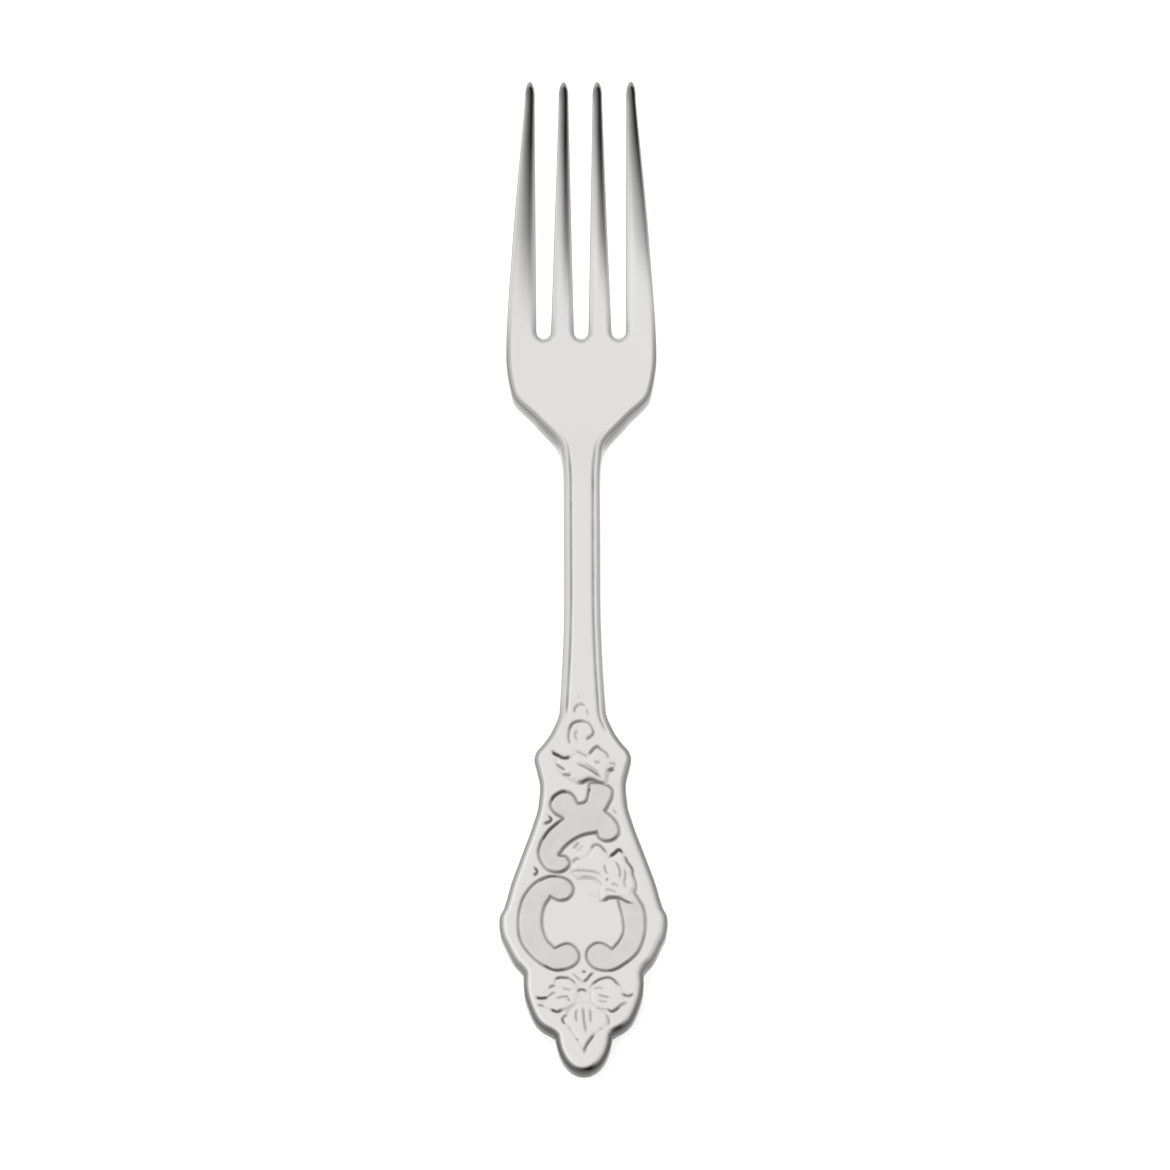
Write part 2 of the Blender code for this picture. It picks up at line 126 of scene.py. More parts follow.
# Columns run up the four tines and the three slots, and spread over the width of the stem and the handle.
TINE_STEPS = np.array([
    -1, -0.96, -0.88, -0.77, -0.63, -0.45, -0.23, 0, 0.23, 0.45, 0.63, 0.77, 0.88, 0.96, 1,
])
SLOT_STEPS = np.sin(np.radians(np.arange(-90, 91, 30)))
STRIPS = 7
LAST = STRIPS - 1
MIDDLE_TINE = 1.5
columns = []
for strip in range(STRIPS):
    number = strip // 2
    in_tine = strip % 2 == 0
    steps = TINE_STEPS if in_tine else SLOT_STEPS
    slot_left, slot_right = [(number + side - MIDDLE_TINE) * SLOT_PITCH for side in (-0.5, 0.5)]
    tip = (number - MIDDLE_TINE) * TIP_PITCH
    if in_tine:
        low = (slot_left + SLOT_RADIUS, tip - TIP_RADIUS)
        high = (slot_right - SLOT_RADIUS, tip + TIP_RADIUS)
    else:
        low = (slot_right - SLOT_RADIUS, tip + TIP_RADIUS)
        high = (slot_right + SLOT_RADIUS, tip + TIP_PITCH - TIP_RADIUS)
    for step in steps if strip == LAST else steps[:-1]:
        tip_bulge = np.sqrt(1 - (TIP_TURN * step) ** 2) - TIP_TURN if in_tine else 0
        root_bulge = 0 if in_tine else np.sqrt(max(0, 1 - step * step))
        columns.append((*low, *high, (step + 1) / 2, tip_bulge, root_bulge, strip))
columns = np.array(columns)
COLUMNS = len(columns) - 1
ROWS = len(rows) - 1
SPREAD = 0.2
NECK = 114.7
ROOT_BLEND = 9
root_half = np.interp(SLOT_ROOT, edge_y, edge_x)


def plan(column, row):
    """Flat place of a point of the plate that is named by its column and its row."""
    run = np.interp(row, np.arange(len(rows)), rows)
    half = np.interp(run, edge_run, edge_x)
    side = np.interp(run, edge_run, edge_y)
    share = 2 * column / COLUMNS - 1
    share = share + SPREAD * np.sin(np.pi * share) / np.pi
    lobed = np.clip(1 - row / row_at[JOIN], 0, 1)
    bottom = np.abs(share) * rows[0]
    x = share * half + lobed * (np.sign(share) * np.interp(bottom, edge_run, edge_x)
                                - share * np.interp(rows[0], edge_run, edge_x))
    y = side + lobed * (np.interp(bottom, edge_run, edge_y) - SIDE_START)
    low_root, low_tip, high_root, high_tip, part, tip_bulge, root_bulge, strip = [
        np.interp(column, np.arange(len(columns)), values) for values in columns.T]
    along = np.clip((side - SLOT_ROOT) / (TIP_START - SLOT_ROOT), 0, 1)
    grow = np.where(side < SLOT_ROOT, half / root_half, 1)
    low = np.where(strip < 0.5, -half, (low_root + (low_tip - low_root) * along) * grow)
    high = np.where(strip > LAST - 0.5, half, (high_root + (high_tip - high_root) * along) * grow)
    rounding = TIP_RADIUS * (1 - np.sqrt(1 - np.clip((side - TIP_START) / TIP_REACH, 0, 1) ** 2))
    rounding = np.where(np.round(strip) % 2 == 0, rounding, -rounding)
    forked = ease((side - NECK) / (SLOT_ROOT - NECK))
    x = (1 - forked) * x + forked * (low + rounding + (high - low - 2 * rounding) * part)
    y = y - SLOT_RADIUS * np.clip((side - SLOT_ROOT + ROOT_BLEND) / ROOT_BLEND, 0, 1) * root_bulge
    return x, y + TIP_REACH * ease((side - TIP_CORNER + TIP_BLEND) / TIP_BLEND) * tip_bulge


# The plate starts as a grid of columns and rows. The slots are pierced, the face is raised off the back, and
# the handle's face is divided finely enough to take the ornament.
bm = bmesh.new()
bmesh.ops.create_grid(bm, x_segments=COLUMNS, y_segments=ROWS, size=1)
bmesh.ops.translate(bm, vec=(1, 1, 0), verts=bm.verts)
bmesh.ops.scale(bm, vec=(COLUMNS / 2, ROWS / 2, 1), verts=bm.verts)
pierced = []
for face in bm.faces:
    center = face.calc_center_median()
    if center.y > row_at[SLOT_ROOT] and columns[int(center.x), -1] % 2 == 1:
        pierced.append(face)
bmesh.ops.delete(bm, geom=pierced, context="FACES")
raised = bmesh.ops.extrude_face_region(bm, geom=bm.faces[:])["geom"]
front = [part for part in raised if isinstance(part, bmesh.types.BMVert)]
bmesh.ops.translate(bm, vec=(0, 0, 1), verts=front)
MIDWAY = 0.5
struck = [edge for edge in bm.edges
          if all(v.co.z > MIDWAY and v.co.y < row_at[HANDLE_TOP] + 0.5 for v in edge.verts)]
bmesh.ops.subdivide_edges(bm, edges=struck, cuts=2, use_grid_fill=True)
bmesh.ops.recalc_face_normals(bm, faces=bm.faces)

# Distance in from the nearest edge, which the round rim and the threads of the stem follow. The rim is
# rounded and slopes off towards the edge, and each tine is a little crowned.
SAMPLES = 24
bm.verts.index_update()
grid = np.array([vertex.co for vertex in bm.verts])
rim = [edge for edge in bm.edges if all(v.co.z > MIDWAY for v in edge.verts)
       and any(v.co.z < MIDWAY for face in edge.link_faces for v in face.verts)]
flat_x, flat_y = plan(grid[:, 0], grid[:, 1])
on_front = grid[:, 2] > MIDWAY
tree = KDTree(len(rim) * SAMPLES)
for edge in rim:
    first, last = [Vector((flat_x[vertex.index], flat_y[vertex.index], 0)) for vertex in edge.verts]
    for step in range(SAMPLES):
        tree.insert(first.lerp(last, step / SAMPLES), edge.index)
tree.balance()
inset = np.array([tree.find((x, y, 0))[2] for x, y in zip(flat_x, flat_y)])

THICKNESS = [(12, 2.7), (64.7, 2.7), (96, 3.2), (114.7, 3.2), (130, 2.2), (136.4, 2.2), (LENGTH, 1.3)]
PILLOW_WIDTH = [(40, 1.6), (64, 1.1), (110, 1.1), (126, 1.3), (SLOT_ROOT, 1.0), (LENGTH, 0.5)]
PILLOW_SLOPE = [(40, 0.6), (64, 0.5), (126, 0.5), (SLOT_ROOT - 2, 0.4), (SLOT_ROOT + 8, 0.05), (LENGTH, 0)]
CORNER = [(126, 0.25), (150, 0.2), (LENGTH, 0.15)]
CROWN = [(SLOT_ROOT - 5, 0), (SLOT_ROOT + 3, 0.12), (LENGTH - 25, 0.22), (LENGTH - 15, 0.2), (LENGTH, 0.12)]
CROWN_HALF = [(SLOT_ROOT, 2.2), (TIP_START, TIP_RADIUS)]
thickness = through(THICKNESS, flat_y)
pillow_width = through(PILLOW_WIDTH, flat_y)
pillow_in = np.clip(1 - inset / pillow_width, 0, 1)
crown_in = np.clip(1 - inset / through(CROWN_HALF, flat_y), 0, 1)
corner = through(CORNER, flat_y)
corner_drop = corner * (1 - np.sqrt(1 - np.clip(1 - inset / corner, 0, 1) ** 2))
drop = through(PILLOW_SLOPE, flat_y) * pillow_width / 2 * pillow_in**2 + through(CROWN, flat_y) * crown_in**2
height = np.where(on_front, -drop - corner_drop, corner_drop - thickness)


# The struck ornament. Between dies the handle's face takes two C scrolls, a middle scroll, a leafy crest, a
# spray and a flower. The scrolls stand a little proud inside cut lines, the leaves and petals swell softly
# under short cut veins, and a thread is rolled along each edge of the stem.

SCROLL_RISE = 0.03
SCROLL_WALL = 0.7
SCROLL_FOOT = 0.1
SCROLL_CUT = (0.58, 0.17)
SCROLL_SPREAD = 0.3
SCROLL_PAINTED_SHADE_FADE = 0.5
SCROLLS = [
    [(-1.7, 33.6), (-3.0, 35.1), (-5.5, 35.5), (-7.7, 34.6), (-9.4, 32.9), (-10.5, 30.7), (-11.0, 27.3),
     (-10.6, 24.1), (-9.2, 21.8), (-7.2, 19.9), (-4.8, 18.7), (-2.6, 19.0), (-1.0, 20.2), (-0.9, 22.0),
     (-2.5, 23.5), (-4.9, 22.7, 1), (-6.3, 24.4), (-7.0, 27.3), (-6.6, 30.0), (-5.5, 31.9, 1), (-3.9, 31.2),
     (-2.3, 31.7)],
    [(5.5, 32.5, 1), (6.1, 30.2), (6.6, 28.0), (6.7, 25.6), (5.9, 23.8), (4.8, 22.5, 1), (3.3, 23.5), (1.9, 23.5),
     (0.6, 22.2), (0.7, 20.3), (2.2, 18.9), (5.0, 18.7), (7.2, 20.0), (9.1, 21.9), (10.1, 24.4), (10.4, 27.0),
     (10.1, 29.8), (9.0, 31.9), (8.0, 33.5, 1)],
    [(4.8, 50.9), (4.9, 49.5), (4.3, 48.0), (3.7, 46.9, 1), (4.8, 46.0), (5.8, 44.6), (6.0, 43.0),
     (5.1, 41.9), (3.7, 41.7), (2.6, 42.4), (2.4, 43.2, 1), (0.3, 42.8), (-1.4, 42.0), (-3.1, 40.6),
     (-4.1, 39.2, 1), (-2.8, 38.9), (-2.3, 37.7), (-3.1, 36.5), (-4.6, 36.2), (-6.3, 36.9), (-7.5, 39.2),
     (-7.1, 41.5), (-5.8, 43.5), (-3.3, 45.7, 1), (-4.8, 46.7), (-5.5, 48.0), (-4.9, 49.5), (-3.4, 50.4),
     (-1.8, 49.9), (-0.9, 48.3, 1), (0.4, 48.6), (0.9, 50.0), (1.1, 51.9, 1), (3.0, 51.9)],
]
SWELL_RISE = 0.095
SWELL_WALL = 1.5
SWELL_CUT = 0.3
SWELL_FOOT = 0.2
COVER = 0.4
SWELLS = [
    [(2.8, 31.1, 1), (4.3, 31.6), (6.3, 31.5), (8.5, 30.6, 1), (8.2, 32.3), (8.9, 33.7), (8.4, 35.7),
     (8.3, 36.7), (7.5, 37.9), (7.2, 38.8), (6.2, 40.1, 1), (5.3, 39.5), (4.3, 38.9, 1), (3.2, 40.4),
     (2.1, 41.0), (1.3, 40.0), (0.6, 38.9, 1), (-0.6, 38.7), (-1.9, 37.7, 1), (-2.1, 36.3), (-0.6, 35.2),
     (1.4, 35.0), (2.6, 33.4)],
    [(-4.2, 56.4), (-2.0, 56.4), (-0.9, 57.3), (0.2, 57.0), (0.9, 56.6, 1), (1.6, 57.5), (2.4, 58.2), (3.6, 57.5),
     (4.3, 56.4), (5.5, 55.2), (4.6, 54.0), (4.0, 51.6, 1), (2.7, 52.1), (1.3, 52.45), (-0.1, 52.0), (-1.1, 51.9),
     (-3.4, 53.4), (-4.4, 55.1)],
    [(-1.1, 15.4), (-1.5, 16.4), (-2.6, 17.3), (-4.7, 17.2), (-5.2, 16.0, 1), (-6.2, 15.1), (-8.0, 13.9, 1),
     (-6.3, 13.2, 1), (-7.7, 12.4, 1), (-5.6, 11.6), (-4.3, 11.1), (-2.6, 11.9), (-1.3, 13.0)],
    [(1.1, 15.6), (1.7, 16.4), (2.7, 17.1), (4.0, 17.3), (5.3, 16.7), (6.2, 15.7, 1), (7.0, 14.8), (8.4, 14.4, 1),
     (6.6, 13.6, 1), (7.3, 12.8, 1), (5.9, 11.8), (4.7, 11.1), (3.3, 11.6), (1.9, 12.3), (1.2, 13.2)],
    [(0.0, 12.9), (-1.6, 12.2), (-2.8, 10.8), (-3.5, 9.7), (-2.9, 8.6), (-1.6, 6.6), (0.0, 3.6, 1),
     (1.4, 6.3), (2.8, 7.9), (4.0, 8.8), (3.9, 10.2), (1.7, 12.2)],
]
CUTS = [
    (0.5, [(-1.4, 64.1), (-1.3, 65.0), (-0.7, 65.65), (-0.1, 65.75), (0.5, 65.4)]),
    (0.42, [(0.6, 65.0), (0.85, 64.4), (0.9, 63.8)]),
    (0.38, [(-0.7, 67.3), (-0.65, 66.9)]),
    (0.54, [(-2.2, 58.7), (-2.4, 60.0), (-2.25, 61.3)]),
    (0.68, [(-2.25, 61.3), (-1.8, 62.2), (-1.1, 62.65), (-0.1, 62.8)]),
    (0.54, [(-0.1, 62.8), (0.85, 62.5), (1.4, 61.9), (1.8, 61.0)]),
    (0.62, [(1.8, 61.0), (1.7, 60.45), (1.25, 60.0), (0.55, 59.5)]),
    (0.46, [(-0.95, 59.3), (-1.25, 60.3), (-0.9, 61.2)]),
    (0.98, [(-5.05, 57.45), (-4.75, 57.05), (-4.2, 56.8)]),
    (0.86, [(-4.2, 56.8), (-3.5, 56.4), (-2.8, 56.3), (-2.1, 56.5)]),
    (0.64, [(-4.6, 55.35), (-3.8, 54.75), (-3.0, 54.15)]),
    (0.62, [(-3.6, 53.4), (-2.0, 53.25)]),
    (0.54, [(-1.3, 57.5), (-0.4, 57.2), (0.15, 56.9), (0.85, 56.5)]),
    (0.7, [(1.0, 56.75), (1.55, 57.5), (2.4, 58.25), (2.95, 57.9)]),
    (0.54, [(2.95, 57.9), (3.5, 57.5), (4.1, 57.0), (4.3, 56.2)]),
    (0.54, [(4.3, 55.4), (5.6, 55.25)]),
    (0.7, [(4.3, 53.9), (5.3, 54.35)]),
    (0.6, [(-1.3, 55.35), (-0.5, 55.1), (0.4, 54.7), (1.4, 54.1), (2.25, 53.5), (3.1, 52.9)]),
    (0.44, [(0.0, 55.6), (1.0, 54.95), (1.9, 54.3), (2.8, 53.6)]),
    (0.5, [(1.9, 55.9), (2.3, 55.5), (2.9, 55.6)]),
    (0.76, [(-1.1, 51.8), (-0.1, 51.9), (0.85, 52.35), (1.8, 52.35), (2.7, 52.0), (3.5, 51.8), (3.95, 51.5)]),
    (0.82, [(1.0, 50.5), (1.1, 51.0)]),
    (0.76, [(-5.9, 46.2), (-5.35, 45.45), (-6.6, 44.65)]),
    (0.76, [(-8.3, 37.2), (-7.75, 36.4), (-8.3, 35.55)]),
    (0.46, [(5.0, 47.2), (5.7, 46.5)]),
    (0.66, [(-2.7, 38.7), (-2.6, 38.3)]),
    (0.54, [(-1.7, 40.3), (-1.2, 40.9), (-0.6, 41.5)]),
    (0.38, [(-1.2, 39.9), (-0.5, 40.5), (0.1, 40.9)]),
    (0.62, [(1.25, 40.0), (1.6, 40.7), (2.1, 41.05), (2.75, 40.95), (3.15, 40.6), (3.7, 40.0), (4.05, 39.6)]),
    (0.94, [(4.4, 38.9), (5.2, 39.45), (6.05, 40.1), (6.7, 39.6)]),
    (0.66, [(6.8, 39.3), (7.2, 38.6), (7.5, 37.9), (7.95, 37.3), (8.3, 36.6), (8.35, 35.7)]),
    (0.6, [(8.35, 35.7), (8.7, 34.8), (8.9, 33.7), (8.7, 32.8), (8.15, 32.3)]),
    (0.5, [(-2.4, 35.85), (-1.85, 36.4), (-0.5, 36.5), (1.05, 36.4), (2.4, 36.1), (3.15, 35.55)]),
    (0.44, [(-1.7, 35.55), (-1.05, 35.1), (0.5, 35.1), (2.1, 34.9), (2.9, 34.3), (3.15, 33.45)]),
    (0.3, [(0.5, 32.2), (1.6, 32.0), (2.6, 31.8)]),
    (0.54, [(-1.85, 37.8), (-1.3, 38.5), (-0.5, 38.6)]),
    (0.5, [(3.6, 37.6), (3.7, 36.6), (4.1, 35.8)]),
    (0.6, [(3.8, 35.0), (4.2, 34.8)]),
    (0.46, [(4.6, 34.0), (5.3, 34.1), (5.9, 33.6)]),
    (0.46, [(3.5, 33.1), (4.7, 33.0), (5.6, 32.6)]),
    (0.48, [(5.3, 38.2), (5.9, 37.3), (6.2, 36.2), (6.1, 35.0)]),
    (0.48, [(6.9, 36.9), (7.1, 35.6), (6.9, 34.2), (7.3, 33.2)]),
    (0.76, [(2.75, 31.1), (3.7, 31.25), (4.2, 31.55), (5.25, 31.65), (6.3, 31.5), (7.35, 30.95), (8.5, 30.6)]),
    (0.5, [(-2.0, 18.2), (-1.1, 17.4), (-0.4, 16.7)]),
    (0.76, [(-0.2, 16.5), (0.6, 17.1), (1.1, 17.8), (1.65, 18.3)]),
    (0.86, [(-0.25, 18.4), (0.3, 18.5)]),
    (0.82, [(-4.9, 17.0), (-4.1, 17.35), (-2.6, 17.3)]),
    (0.6, [(-2.6, 17.3), (-2.0, 16.9), (-1.35, 16.3)]),
    (0.7, [(-5.9, 15.4), (-5.4, 15.8), (-4.9, 15.9)]),
    (0.38, [(-4.9, 15.9), (-4.75, 17.2)]),
    (0.98, [(-8.0, 13.85), (-7.5, 13.6), (-6.3, 13.65)]),
    (0.6, [(-6.3, 13.65), (-5.4, 14.4), (-4.7, 14.7)]),
    (0.6, [(-7.75, 12.4), (-6.7, 12.15)]),
    (0.86, [(-5.6, 11.6), (-5.0, 11.25), (-4.3, 11.1), (-3.7, 11.4)]),
    (0.46, [(-3.7, 11.4), (-2.6, 11.85), (-1.55, 12.55)]),
    (0.54, [(-4.8, 13.5), (-3.5, 13.85), (-2.4, 13.85)]),
    (0.54, [(-2.8, 13.4), (-2.3, 13.1)]),
    (0.48, [(-3.7, 15.5), (-2.8, 15.2), (-2.0, 15.1)]),
    (0.76, [(1.1, 15.7), (1.65, 16.3), (2.7, 17.0), (4.0, 17.35), (4.85, 17.1), (5.5, 16.4), (6.2, 15.7)]),
    (0.86, [(6.35, 14.4), (7.0, 14.1), (7.6, 13.95), (8.4, 14.4)]),
    (0.62, [(7.3, 12.8), (6.45, 12.4), (5.9, 11.85)]),
    (0.82, [(5.9, 11.85), (5.4, 11.4), (4.75, 11.1), (4.2, 11.4)]),
    (0.46, [(4.2, 11.4), (3.35, 11.6), (2.5, 11.7), (2.1, 12.2)]),
    (0.46, [(1.5, 15.2), (2.7, 15.5), (3.4, 15.2)]),
    (0.54, [(2.3, 14.3), (3.1, 13.95), (4.4, 13.7)]),
    (0.46, [(2.3, 13.3), (3.1, 12.9), (4.0, 13.0)]),
    (0.7, [(-0.93, 14.55), (-0.84, 15.02), (-0.42, 15.2), (0.08, 15.05), (0.42, 14.74)]),
    (0.38, [(-0.5, 13.9), (-0.4, 13.5)]),
    (0.7, [(-2.7, 10.7), (-3.2, 10.3), (-3.6, 9.75), (-3.4, 9.15), (-3.05, 8.8)]),
    (0.46, [(-2.4, 8.4), (-2.3, 7.75)]),
    (0.5, [(-1.35, 6.35), (-0.9, 5.65)]),
    (0.52, [(3.5, 10.7), (4.0, 10.1), (4.2, 9.15), (4.0, 8.5)]),
    (0.46, [(3.35, 8.0), (2.5, 7.9)]),
    (0.78, [(1.85, 7.05), (1.2, 6.1), (0.6, 5.2), (0.15, 4.25), (0.05, 3.4)]),
    (0.54, [(-1.1, 11.7), (-1.35, 10.6), (-1.25, 9.15)]),
    (0.6, [(-0.2, 12.2), (-0.05, 10.3), (0.15, 8.45), (0.35, 7.05)]),
    (0.54, [(1.0, 11.7), (1.1, 10.3), (1.1, 8.9)]),
    (0.95, [(-5.45, 48.4), (-4.9, 49.5), (-3.4, 50.4), (-2.4, 50.2)]),
    (0.86, [(-3.5, 45.5), (-5.8, 43.5), (-7.1, 41.5)]),
    (0.85, [(-7.7, 34.6), (-5.5, 35.5), (-4.0, 35.4)]),
    (0.85, [(-7.2, 19.9), (-4.8, 18.7), (-2.6, 19.0)]),
    (0.85, [(3.4, 18.65), (5.0, 18.7), (7.2, 20.0), (8.2, 20.9)]),
    (0.4, [(-1.27, 12.89), (-2.11, 12.14), (-2.78, 11.31), (-3.21, 10.47)]),
]
CUT_DEPTH = 0.12
CUT_WIDTH = 0.36
CUT_WAY = (0.94, 0.35)
CUT_FULL = (0.2, 0.8)
RUN_OUT = 0.5
RIDGE_RISE = 0.04
RIDGE_WIDTH = 0.75
CURVE_STEPS = 7
REACH = 2.0
FAR = 1e9
TINY = 1e-9


def drawn(points, closed):
    """Places along a smooth line through points, which is straight up to those marked sharp."""
    knots = [Vector(point[:2]) for point in points]
    count = len(knots)

    def handle(index, towards):
        reach = knots[(index + towards) % count] - knots[index]
        if len(points[index]) > 2 or not closed and index in (0, count - 1):
            return knots[index] + reach / 3
        across = knots[(index + 1) % count] - knots[index - 1]
        return knots[index] + across.normalized() * towards * reach.length / 3

    line = []
    for index in range(count if closed else count - 1):
        after = (index + 1) % count
        span = interpolate_bezier(knots[index], handle(index, 1), handle(after, -1), knots[after], CURVE_STEPS)
        line += [tuple(point) for point in span[:-1]]
    return np.array(line + line[:1] if closed else line + [tuple(knots[-1])])


def beside(line):
    """Points of the face near a line, their distance from it, its way there and their place along it."""
    (low_x, low_y), (high_x, high_y) = line.min(0) - REACH, line.max(0) + REACH
    near = np.flatnonzero(on_front & (flat_x > low_x) & (flat_x < high_x) & (flat_y > low_y) & (flat_y < high_y))
    x, y = flat_x[near], flat_y[near]
    nearest = np.full(len(near), FAR)
    way, place = np.zeros(len(near)), np.zeros(len(near))
    gone = 0
    for (ax, ay), (bx, by) in zip(line[:-1], line[1:]):
        dx, dy = bx - ax, by - ay
        length = max(np.hypot(dx, dy), TINY)
        t = np.clip(((x - ax) * dx + (y - ay) * dy) / length**2, 0, 1)
        distance = np.hypot(x - ax - t * dx, y - ay - t * dy)
        way = np.where(distance < nearest, abs(dx * CUT_WAY[0] + dy * CUT_WAY[1]) / length, way)
        place = np.where(distance < nearest, gone + t * length, place)
        nearest = np.minimum(nearest, distance)
        gone += length
    return near, nearest, way, place / gone


def end_depth(end, depth):
    """Depth at the end of a cut, which runs into another cut or else runs out."""
    met = [other for other, points in CUTS if end in (points[0], points[-1])]
    return np.mean(met) if len(met) > 1 else RUN_OUT * depth


def within(x, y, line):
    """Which of many points lie inside a closed line."""
    inside = np.zeros(len(x), bool)
    for (ax, ay), (bx, by) in zip(line[:-1], line[1:]):
        if ay != by:
            crosses = (ay > y) != (by > y)
            inside ^= crosses & (x < ax + (y - ay) / (by - ay) * (bx - ax))
    return inside


def struck_line(near, deep, distance, width):
    """Cut a line into the face, with the soft ridge that a punch throws up on both sides."""
    cut[near] = np.maximum(cut[near], deep * np.exp(-(distance / width) ** 2))
    ridge[near] = np.maximum(ridge[near], deep * np.exp(-(distance / RIDGE_WIDTH) ** 2))


# The scrolls come first, with a little painted shade on their bands. The leaves and petals then lie over them and
# cover their lines.
relief = np.zeros(len(flat_x))
cut = np.zeros(len(flat_x))
ridge = np.zeros(len(flat_x))
scroll_painted_shade = np.zeros(len(flat_x))
for points in SCROLLS:
    line = drawn(points, closed=True)
    near, distance, way, place = beside(line)
    depth = np.where(within(flat_x[near], flat_y[near], line), distance, -distance)
    relief[near] = np.maximum(relief[near], SCROLL_RISE * ease((depth + SCROLL_FOOT) / SCROLL_WALL))
    # The scroll bands are coloured a little darker, a painted shade.
    scroll_painted_shade[near] = np.maximum(scroll_painted_shade[near], ease(depth / SCROLL_PAINTED_SHADE_FADE))
    # Scroll lines that run across CUT_WAY are struck a little deeper. Their extra dark colour is painted shade for
    # how the light falls across them.
    deep = SCROLL_CUT[0] + SCROLL_CUT[1] * way**2
    struck_line(near, deep, distance, CUT_WIDTH * (1 + SCROLL_SPREAD * (1 - way**2)))
for points in SWELLS:
    line = drawn(points, closed=True)
    near, distance, way, place = beside(line)
    depth = np.where(within(flat_x[near], flat_y[near], line), distance, -distance)
    relief[near] = np.maximum(relief[near], SWELL_RISE * ease((depth + SWELL_FOOT) / SWELL_WALL))
    for covered in (cut, ridge, scroll_painted_shade):
        covered[near] *= 1 - ease((depth + SWELL_FOOT) / COVER)
    cut[near] = np.maximum(cut[near], SWELL_CUT * np.exp(-(distance / CUT_WIDTH) ** 2))
for depth, points in CUTS:
    near, distance, way, place = beside(drawn(points, closed=False))
    first_depth, last_depth = end_depth(points[0], depth), end_depth(points[-1], depth)
    run = [(0, first_depth), (CUT_FULL[0], depth), (CUT_FULL[1], depth), (1, last_depth)]
    struck_line(near, through(run, place), distance, CUT_WIDTH)

THREAD_INSET = 1.28
THREAD_WIDTH = 0.36
THREAD_DEPTH = 0.1
LEFT_THREAD = [(62, 0), (66, 1), (110, 1), (122, 0)]
RIGHT_THREAD = [(59, 0), (63, 1), (110, 1), (122, 0)]
run_out = np.where(flat_x < 0, through(LEFT_THREAD, flat_y), through(RIGHT_THREAD, flat_y))
thread = np.where(on_front, run_out * np.exp(-((inset - THREAD_INSET) / THREAD_WIDTH) ** 2), 0)
height = height + relief + RIDGE_RISE * ridge - CUT_DEPTH * cut - THREAD_DEPTH * thread

# What a polishing cloth skips stays darker: tarnish in the cuts and the threads. The scroll bands get a little
# painted shade. The round of the rim, the walls, mostly those of the handle's end and the shoulders, and the tine
# tips are painted dark: painted reflection and painted shadow.
THREAD_TARNISH = 0.58
SCROLL_PAINTED_SHADE = 0.3
ON_RIM = 1e-4
# The recess mask holds tarnish in the cuts and threads, and painted shade on the scroll bands.
recess = np.maximum(np.maximum(cut, THREAD_TARNISH * thread), SCROLL_PAINTED_SHADE * scroll_painted_shade)
# Painted reflection and shadow: the rim band, the walls and the tine tips are coloured dark, standing for the dark
# surroundings and the contact shadow that the metal would mirror there.
EDGE_SHADE = [(0, 0.6), (0.5, 0.54), (0.95, 0)]
WALL_SHADE = [(0, 0.95), (18, 0.95), (32, 0.55), (64, 0.4), (108, 0.4), (116, 0.8), (124, 0.7), (136, 0.3),
              (LENGTH - 5, 0.2), (LENGTH, 0.55)]
FOOT_SHADE = [(0, 0.88), (18, 0.88), (32, 0.4), (64, 0.2), (108, 0.2), (116, 0.6), (124, 0.5), (136, 0.2)]
EDGE_FADE = [(0, 1.5), (14, 1.3), (24, 1), (60, 1), (68, 0.5), (108, 0.5), (120, 1), (SLOT_ROOT - 6, 1),
             (SLOT_ROOT + 6, 0.3), (LENGTH - 4, 0.3), (LENGTH - 1.5, 0.8), (LENGTH, 1.1)]
rounded = np.where(on_front, through(EDGE_FADE, flat_y) * through(EDGE_SHADE, inset), 0)
walled = np.where(on_front, through(WALL_SHADE, flat_y), through(FOOT_SHADE, flat_y))
rim_shade = np.where(inset < ON_RIM, walled, rounded)


# The bending. The finished blank is bent over a former: the handle rises to an arch in the stem, the neck
# drops into the bowl, whose sides are dished up, and the tines sweep up to their tips.

BENDS = np.array([
    (12, 2.7, 0), (96, 9.6, 0), (113, 6.0, -0.3), (130, 2.25, 0), (154.5, 5.8, 0.28), (LENGTH, 14.6, 0.47),
]).T
DISH = [(NECK, 0), (132.9, 0.6), (LENGTH, 0.3)]
HEAD_HALF = 12.75
CENTRE = 89.5048
lift, slope = cubic(*BENDS, flat_y)
tilt = np.arctan(slope)
dish = np.where(flat_y > NECK, through(DISH, flat_y), 0) * (flat_x / HEAD_HALF) ** 2
bent = np.column_stack([
    flat_x, flat_y - height * np.sin(tilt) - CENTRE, lift + dish + height * np.cos(tilt)]) * MM

# Each square of the mesh is split along the cut that crosses it, so that no line looks like a zip.
along_line, across_line = [], []
for face in [face for face in bm.faces if len(face.verts) == 4]:
    first, second, third, fourth = [height[vertex.index] for vertex in face.verts]
    (along_line if abs(first - third) < abs(second - fourth) else across_line).append(face)
bmesh.ops.triangulate(bm, faces=along_line, quad_method="FIXED")
bmesh.ops.triangulate(bm, faces=across_line, quad_method="ALTERNATE")
mesh = bpy.data.meshes.new("dessert_fork_silver")
bm.to_mesh(mesh)
bm.free()
mesh.vertices.foreach_set("co", bent.ravel())
mesh.attributes.new("recess", "FLOAT", "POINT").data.foreach_set("value", recess)
# The edge attribute holds the painted reflection and painted shadow of the rim, the walls and the tine tips.
mesh.attributes.new("edge", "FLOAT", "POINT").data.foreach_set("value", rim_shade)
mesh.shade_smooth()
mesh.update()
fork = bpy.data.objects.new("dessert_fork_silver", mesh)
bpy.context.scene.collection.objects.link(fork)
